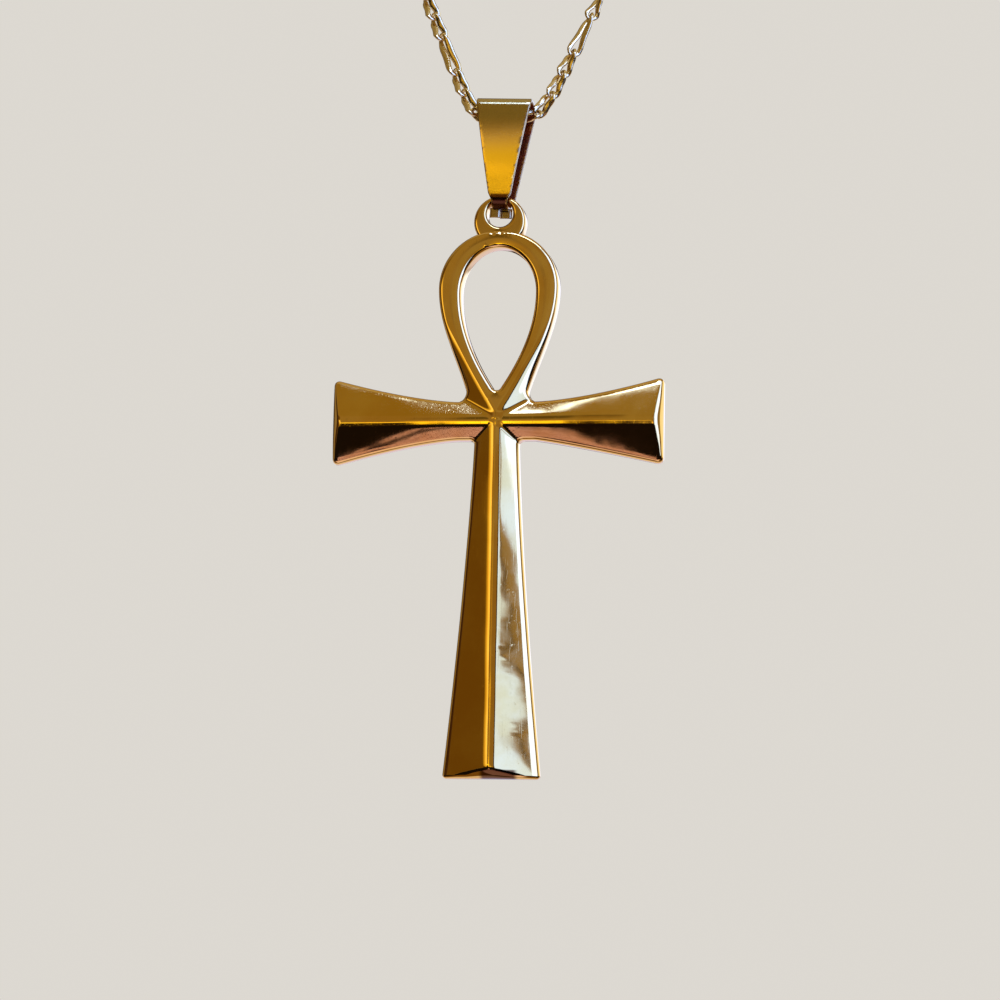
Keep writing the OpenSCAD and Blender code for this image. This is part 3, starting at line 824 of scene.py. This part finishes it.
# The bail turns from a dark gold above to a yellow, partly dull gold below. This imitates
# a reflection too; each pair is the heights between which it changes.
BAIL_HIGH_REFLECTION, BAIL_LOW_REFLECTION = (0.46, 0.35, 0.12, 1), (0.95, 0.50, 0.008, 1)
HIGH_FADE, LOW_FADE, DULL_FADE, DULL = (-139.5, -136.0), (-141.5, -136.8), (-141.2, -136.8), 0.64
# The inside's dark red and the underside's dark brown are painted shade.
CUT_TONE, INSIDE_PAINTED_SHADE = (0.42, 0.27, 0.09, 1), (0.36, 0.085, 0.022, 1)
UNDER_PAINTED_SHADE, TAB_TONE = (0.09, 0.03, 0.01, 1), (0.50, 0.34, 0.12, 1)
# depths of the bumps, in metres
CAST_LIFT, SATIN_LIFT, WIRE_LIFT = 0.00001, 0.000008, 0.000006


def scratches(f, turn, size, keep):
    """Fine straight scratches at one angle: a stretched pattern of which only the peaks stay."""
    return f.step(f.noise(f.place((1, 1, 0.03), turn), size, 2.0), keep, keep + 0.05)


def cast_gold():
    """Polished casting: warm and cool patches, a hand-polished ripple, hairline scratches and
    tiny pores, with a painted brown reflection on the foot's slope."""
    f = Finish(made := bpy.data.materials.new("polished cast gold"))
    at = f.place()
    cloud = f.noise(at, 6.0, 4.0, 0.6)
    colour = f.blend(f.step(cloud, 0.35, 0.68), DEEP_GOLD, GOLD)
    hair = scratches(f, 8, 0.10, 0.66) + scratches(f, 62, 0.12, 0.68)
    hair = hair + scratches(f, -40, 0.14, 0.69)
    pores = f.step(f.noise(at, 0.5, 2.0), 0.70, 0.78)
    colour = f.blend(pores * 0.5, colour, DEEP_GOLD)
    x, z = (f.node("SeparateXYZ", None, {0: at}, out=k) for k in "XZ")
    # the foot's brown is a painted reflection, not a colour of the metal
    foot = (1 - f.step(z, *FOOT_TOP)) * f.step(x, *FOOT_LEFT) * (1 - f.step(x, *FOOT_RIGHT))
    colour = f.blend(foot * 0.95, colour, FOOT_PAINTED_REFLECTION)
    smudge = f.noise(at, 3.2, 3.0, 0.65, 0.4)
    rough = 0.04 + f.step(smudge, 0.4, 0.75) * 0.03 + hair * 0.04 + pores * 0.1
    height = f.noise(at, 2.4, 1.0, 0.4) * 0.4 + f.noise(at, 0.16, 3.0) * 0.012
    height = height - hair * 0.02 - pores * 0.12
    f.metal(colour, rough, height, CAST_LIFT)
    return made


def satin_gold():
    """Brushed strip: fine lines along the strip, browner cut edges, a painted-shade dark red inside
    and dark brown underside, and a painted reflection: dark gold above, yellow and partly dull
    below."""
    f = Finish(made := bpy.data.materials.new("satin gold strip"))
    at = f.place()
    along, cut, inside, under, tab = (
        f.carried(name) for name in ("along", "cut", "inside", "under", "tab"))
    x, z = (f.node("SeparateXYZ", None, {0: at}, out=k) for k in "XZ")
    grain_at = f.node("CombineXYZ", None, {"X": x, "Y": along * 0.02, "Z": 0.0})
    grain = f.noise(grain_at, 0.07, 4.0, 0.7)
    wide = f.noise(grain_at, 0.5, 2.0)
    cloud = f.noise(at, 2.5, 3.0)
    tone = f.step(grain * 0.6 + cloud * 0.4, 0.3, 0.7)
    colour = f.blend(tone, DEEP_GOLD, GOLD)
    # painted reflection: darker gold towards the top, yellow towards the foot
    colour = f.blend(f.step(z, *HIGH_FADE) * 0.8, colour, BAIL_HIGH_REFLECTION)
    colour = f.blend(1 - f.step(z, *LOW_FADE), colour, BAIL_LOW_REFLECTION)
    # the inside and the underside get painted shade here
    for mask, own in (
        (cut, CUT_TONE), (inside, INSIDE_PAINTED_SHADE), (under, UNDER_PAINTED_SHADE), (tab, TAB_TONE),
    ):
        colour = f.blend(mask, colour, own)
    rough = (0.075 + grain * 0.09 + wide * 0.03) * (1 - cut) + cut * 0.2 + inside * 0.2
    height = (grain * 0.8 + wide * 0.4) * (1 - cut * 0.8) + cloud * 0.1
    satin = (1 - f.step(z, *DULL_FADE)) * DULL
    for mask in (cut, inside, under, tab):
        satin = satin * (1 - mask)
    f.metal(colour, rough, height, SATIN_LIFT, 1 - satin)
    return made


def wire_gold(name, size):
    """Drawn wire: slight colour patches, rubbed bright spots and fine drawing marks."""
    f = Finish(made := bpy.data.materials.new(name))
    at = f.place()
    cloud = f.noise(at, 1.6, 4.0, 0.6)
    colour = f.blend(f.step(cloud, 0.3, 0.7), WIRE_DEEP, WIRE_GOLD)
    rub = f.step(f.noise(at, 0.6, 3.0), 0.5, 0.75)
    colour = f.blend(rub * 0.6, colour, WIRE_RUBBED)
    fine = f.noise(at, size, 3.0)
    f.metal(colour, 0.14 + fine * 0.10 + (1 - rub) * 0.04, fine + cloud * 0.4, WIRE_LIFT)
    return made


# ---- the pieces ----

polished, satin = cast_gold(), satin_gold()
wire, trim = wire_gold("drawn gold wire", 0.12), wire_gold("polished clasp gold", 0.2)

mesh_piece("cross", cross_parts() + eye_parts(), "cross", polished, ("ankh",))
strip, along, cut, inside, under = bail_parts()
tabs = [part for where in TABS for part in tab_parts(*where, *TAB_SIZE)]
loose = np.zeros(sum(np.asarray(p).size // 3 for p, _ in tabs))


def with_tabs(on_strip, on_tabs=0.0):
    """The strip's values at its points, then one value at all points of the tabs."""
    return np.concatenate([on_strip.ravel(), loose + on_tabs])


mesh_piece("bail_strip", [strip, *tabs], "bail", satin, ("bail",), values={
    "along": with_tabs(along), "cut": with_tabs(cut, TAB_CUT), "inside": with_tabs(inside),
    "under": with_tabs(under), "tab": with_tabs(0 * along, 1),
})
for side, word in ((-1, "left"), (1, "right")):
    mesh_piece("links_" + word, links(side), "chain", wire, ("chain_" + word,))
    mesh_piece("end_ring_" + word, ring_parts(side), "chain", wire, ("ring_" + word,))
mesh_piece("claw_clasp", clasp_parts(), "chain", trim, ("clasp",))


# ---- floor, light and camera ----

def pale_floor():
    """A wide plain floor a little below the cross."""
    f = Finish(made := bpy.data.materials.new("pale floor"))
    grey = f.noise(f.place(), 60.0, 3.0)
    colour = f.blend(grey, (0.74, 0.72, 0.69, 1), (0.78, 0.76, 0.73, 1))
    surface = f.node("BsdfPrincipled", None, {"Base Color": colour, "Roughness": 0.9})
    f.node("OutputMaterial", None, {"Surface": surface})
    low, wide = -300.0, 3000.0
    grid = np.array([[(-wide, y, low), (wide, y, low)] for y in (-wide, wide)])
    floor = mesh_piece("floor", [(grid, quads(2, 2))], None, made)
    floor.visible_glossy = False


# The room by direction, in degrees: azimuth 0 is in front and 90 on the +X side.
CARDS = (
    # colour, azimuth from and to, softness, elevation from and to, softness,
    # slant of the azimuths with elevation, slant of the elevations with azimuth;
    # a later card lies over an earlier one
    # behind and below on both sides, then behind and at the side on -X
    ((0.85, 0.84, 1.25), (125, 190), 8, (-78, -3), 4, 0, 0),
    ((0.85, 0.84, 1.25), (-190, -105), 8, (-78, -3), 4, 0, 0),
    ((0.07, 0.045, 0.02), (-191, -120), 8, (-2, 40), 2, 0, 0),
    ((0.05, 0.022, 0.014), (-76, -45), 1.5, (-9, 40), 1, 0, 0),
    # in front
    ((0.155, 0.090, 0.013), (-46, -22), 2, (-9, 26), 1, 0, 0),
    ((0.30, 0.21, 0.070), (-22, 10), 3, (-9, 26), 1, 0, 0),
    ((0.37, 0.31, 0.17), (-9, 8), 6, (8.2, 13.4), 1.6, 0, 0),
    ((0.13, 0.10, 0.030), (-11.3, -9.0), 0.5, (13.0, 26), 3.0, 0, 0),
    # above; the brightest one gives the bright patch on the right arm
    ((0.33, 0.265, 0.12), (-70, 70), 10, (26, 50), 3, 0, 0),
    ((0.31, 0.225, 0.055), (-40, -11.9), 0.5, (26, 50), 3, 0, 0),
    ((4.00, 6.60, 20.0), (-12.7, 40), 0.3, (39.3, 56), 1.0, 0, 0),
    ((0.50, 0.45, 0.36), (-190, 190), 1, (57, 91), 6, 0, 0),
    # in front again: two slanted ones, then smaller ones
    ((0.88, 0.64, 0.09), (-36, -13), 5.0, (-9, 12.5), 2, 1.0, 0),
    ((1.60, 1.30, 0.50), (-28, -19), 4.0, (-9, 12.0), 2, 1.0, 0),
    ((0.33, 0.24, 0.080), (-18, -11.6), 0.8, (2.6, 28), 1.0, 0, 0),
    ((0.34, 0.27, 0.11), (-8.8, -6.4), 0.8, (2.6, 28), 1.0, 0, 0),
    ((0.030, 0.020, 0.010), (-18, -7), 1.0, (-12, 0.6), 0.8, 0, 0),
    ((1.60, 1.28, 0.12), (-18, -11.2), 0.5, (0.2, 2.6), 0.5, 0, 0),
    ((0.75, 0.56, 0.14), (-9.0, -6.5), 0.6, (0.2, 2.2), 0.5, 0, 0),
    ((2.30, 1.80, 0.10), (-11.1, -9.1), 0.4, (-8, 3.2), 2.2, 0, 0),
    # to the +X side: a dark one, two very pale ones, a slanted streak and a dark line in it
    ((0.010, 0.008, 0.005), (9, 12.2), 0.7, (-9, 36), 1, 0, 0),
    ((0.90, 1.60, 5.80), (12.4, 62), 0.4, (-13, 46), 2, 0, 0),
    ((1.35, 2.40, 10.0), (22.8, 62), 0.6, (-13, 46), 2, 0, 0),
    ((0.34, 0.29, 0.20), (14.6, 22.4), 0.5, (5.65, 8.0), 0.2, 0, 0.7),
    ((0.03, 0.02, 0.01), (14.8, 22.2), 0.3, (6.15, 6.45), 0.08, 0, 0.7),
    # behind on +X
    ((1.25, 1.50, 2.20), (98, 179), 6, (-1, 32), 2.5, 0, 0),
)
# a slanted card has its stated azimuths at this elevation
SLANT_LEVEL = 8
# Under the cards, each pair from where a step starts to where it is full: the sides and top of
# what lies below in front; the lit stretch ahead in it, with dark brown at its sides and straight
# down; and the top of that stretch's pale cream, above which it is pink.
FRONT_LEFT, FRONT_RIGHT, BELOW_TOP = (-112, -104), (122, 130), (-13, -11)
AHEAD_LEFT, AHEAD_RIGHT, AHEAD_LOW, CREAM_TOP = (-36, -28), (12, 18), (-84, -79), (-50, -40)
# The dark band: its lower and upper edge, and how far the lower one wanders. Outside a slit
# about one azimuth, which the arms show, it starts lower by SLIT_DROP.
BAND_LOW, BAND_HIGH, BAND_RAGGED = (-22.4, -21.9), (-10, -9), 9
SLIT_AT, SLIT_HALF, SLIT_DROP = -11.1, (1.10, 1.50), 16
BLUSH, GRAIN = (0.76, 0.54, 1.05, 1), (0.26, 0.08, 0.06, 1)
CREAM, UNDER = (0.95, 0.84, 1.50, 1), (0.20, 0.11, 0.025, 1)
BAND = (0.010, 0.007, 0.008, 1)
ROOM, SOFT, BACKDROP = (0.30, 0.25, 0.17, 1), (1.0, 0.97, 0.93, 1), (0.72, 0.69, 0.64, 1)
DEGREES = 180 / math.pi


def room_light():
    """The room as the metal shows it, in soft cards far away over an even brownish grey.
    Everything dull is lit evenly, and the camera itself sees a pale backdrop."""
    world = bpy.data.worlds.new("soft room")
    scene.world = world
    f = Finish(world)
    way = f.node("TexCoord", out="Generated")
    x, y, z = (f.node("SeparateXYZ", None, {0: way}, out=k) for k in "XYZ")
    azimuth = f.math("ARCTAN2", x, y * -1) * DEGREES
    height = f.math("ARCSINE", z) * DEGREES
    # below in front: dark brown, but ahead pale cream and above it pink with dark grain lines;
    # then a dark band with a ragged lower edge
    ragged = f.noise(way, 0.030, 1.0, 0.5, 0.8)
    wander = f.noise(way, 0.012, 1.0, 0.5, 1.2) * 30
    lines = f.step(f.math("SINE", wander + height * 3.0), 0.30, 0.95)
    front = f.step(azimuth, *FRONT_LEFT) * (1 - f.step(azimuth, *FRONT_RIGHT))
    ahead = f.step(azimuth, *AHEAD_LEFT) * (1 - f.step(azimuth, *AHEAD_RIGHT))
    ahead = ahead * f.step(height, *AHEAD_LOW)
    off_slit = f.step(f.math("ABSOLUTE", azimuth - SLIT_AT), *SLIT_HALF)
    low = height + (ragged - 0.5) * BAND_RAGGED + off_slit * SLIT_DROP
    pink = f.blend(lines, BLUSH, GRAIN)
    surface = f.blend(ahead, UNDER, f.blend(f.step(height, *CREAM_TOP), CREAM, pink))
    light = f.blend(front * (1 - f.step(height, *BELOW_TOP)), ROOM, surface)
    band = front * f.step(low, *BAND_LOW) * (1 - f.step(height, *BAND_HIGH))
    light = f.blend(band, light, BAND)
    for colour, (a0, a1), a_soft, (e0, e1), e_soft, lean_a, lean_e in CARDS:
        a = azimuth + (height - SLANT_LEVEL) * lean_a if lean_a else azimuth
        e = height + (azimuth - (a0 + a1) / 2) * lean_e if lean_e else height
        mask = f.step(a, a0 - a_soft, a0 + a_soft) * (1 - f.step(a, a1 - a_soft, a1 + a_soft))
        mask = mask * f.step(e, e0 - e_soft, e0 + e_soft)
        mask = mask * (1 - f.step(e, e1 - e_soft, e1 + e_soft))
        light = f.blend(mask, light, (*colour, 1))
    light = f.blend(f.node("LightPath", out="Is Glossy Ray"), SOFT, light)
    seen = f.node("LightPath", out="Is Camera Ray")
    shade = f.node("Background", None, {"Color": f.blend(seen, light, BACKDROP), "Strength": 1.0})
    f.node("OutputWorld", None, {"Surface": shade})


def add_camera():
    """The photograph's view: from a little below, and from the +X side, rolled slightly."""
    azimuth, elevation, roll = (math.radians(a) for a in (10.0, -7.5, 1.1))
    reach, frame_width, sensor = 420.0, 118.8, 36.0
    target = Vector((-0.02, -110.0, -182.5)) * MM
    level = math.cos(elevation)
    toward = Vector((
        math.sin(azimuth) * level, -math.cos(azimuth) * level, math.sin(elevation),
    ))
    data = bpy.data.cameras.new("camera")
    data.sensor_width, data.lens = sensor, sensor * reach / frame_width
    data.clip_start, data.clip_end = 0.01, 20.0
    camera = bpy.data.objects.new("camera", data)
    camera.location = target + toward * reach * MM
    camera.rotation_mode = "QUATERNION"
    camera.rotation_quaternion = toward.to_track_quat("Z", "Y") @ Quaternion((0, 0, 1), roll)
    scene.collection.objects.link(camera)
    scene.camera = camera


pale_floor()
room_light()
add_camera()
scene.view_settings.view_transform = "Standard"
scene.view_settings.look = "None"
